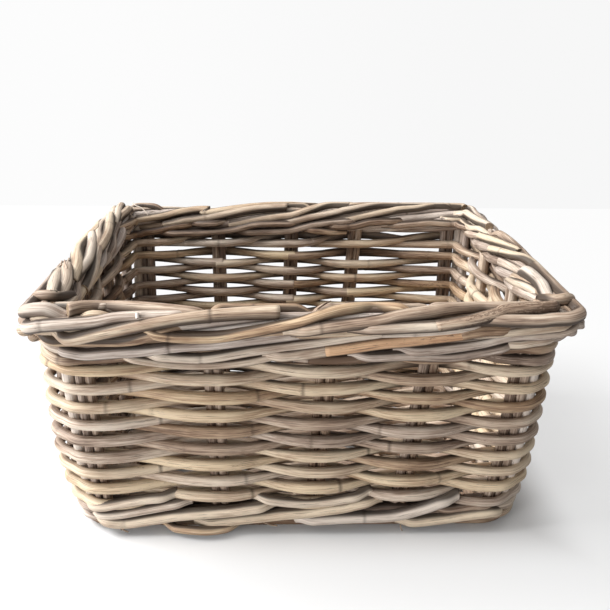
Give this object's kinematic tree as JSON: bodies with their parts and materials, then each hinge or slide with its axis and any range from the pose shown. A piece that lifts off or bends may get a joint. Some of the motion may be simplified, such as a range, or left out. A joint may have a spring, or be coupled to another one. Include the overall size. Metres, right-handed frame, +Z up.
{
  "type": "rattan basket",
  "caption": "Open rectangular basket of woven rattan rods, with paired stakes, twisted bands at foot and top, and a thick rope rim.",
  "frame": {"origin": "bottom centre of the basket's box, on the surface that it stands on", "axes": "+X along the long side, +Y from the front wall to the back wall, +Z up"},
  "size_m": [0.4076, 0.307, 0.2143],
  "materials": {
    "stakes": "unvarnished rattan, grey-washed, peeled",
    "rows": "unvarnished rattan, grey-washed, with bark streaks",
    "bands": "unvarnished rattan, grey-washed, twisted",
    "rim": "unvarnished rattan, grey-washed, with bark left on",
    "base": "unvarnished rattan, brown"
  },
  "bodies": {
    "root": {"foot_rod": "base", "base_frame": "base", "base_stick_1": "base", "base_stick_2": "base", "base_stick_3": "base", "base_stick_4": "base", "base_stick_5": "base", "base_weaver": "base", "stake_pair_front_1": "stakes", "stake_pair_front_2": "stakes", "stake_pair_front_3": "stakes", "stake_pair_right_1": "stakes", "stake_pair_right_2": "stakes", "stake_pair_back_1": "stakes", "stake_pair_back_2": "stakes", "stake_pair_back_3": "stakes", "stake_pair_left_1": "stakes", "stake_pair_left_2": "stakes", "corner_post_front_right": "stakes", "corner_flank_front_right": "stakes", "corner_post_back_right": "stakes", "corner_flank_back_right": "stakes", "corner_post_back_left": "stakes", "corner_flank_back_left": "stakes", "corner_post_front_left": "stakes", "corner_flank_front_left": "stakes", "lower_wale_rod_1": "bands", "lower_wale_rod_2": "bands", "lower_wale_rod_3": "bands", "weaver_row_01": "rows", "weaver_row_02": "rows", "weaver_row_03": "rows", "weaver_row_04": "rows", "weaver_row_05": "rows", "weaver_row_06": "rows", "weaver_row_07": "rows", "weaver_row_08": "rows", "weaver_row_09": "rows", "weaver_row_10": "rows", "weaver_row_11": "rows", "weaver_row_12": "rows", "weaver_row_13": "rows", "weaver_row_14": "rows", "weaver_row_15": "rows", "weaver_row_16": "rows", "weaver_row_17": "rows", "upper_wale_rod_1": "bands", "upper_wale_rod_2": "bands", "upper_wale_rod_3": "bands", "border_rod_1": "rim", "border_rod_2": "rim", "border_rod_3": "rim", "border_rod_4": "rim", "border_rod_5": "rim", "border_rod_6": "rim", "border_rod_7": "rim", "border_rod_8": "rim", "border_core": "rim"}
  },
  "joints": []
}
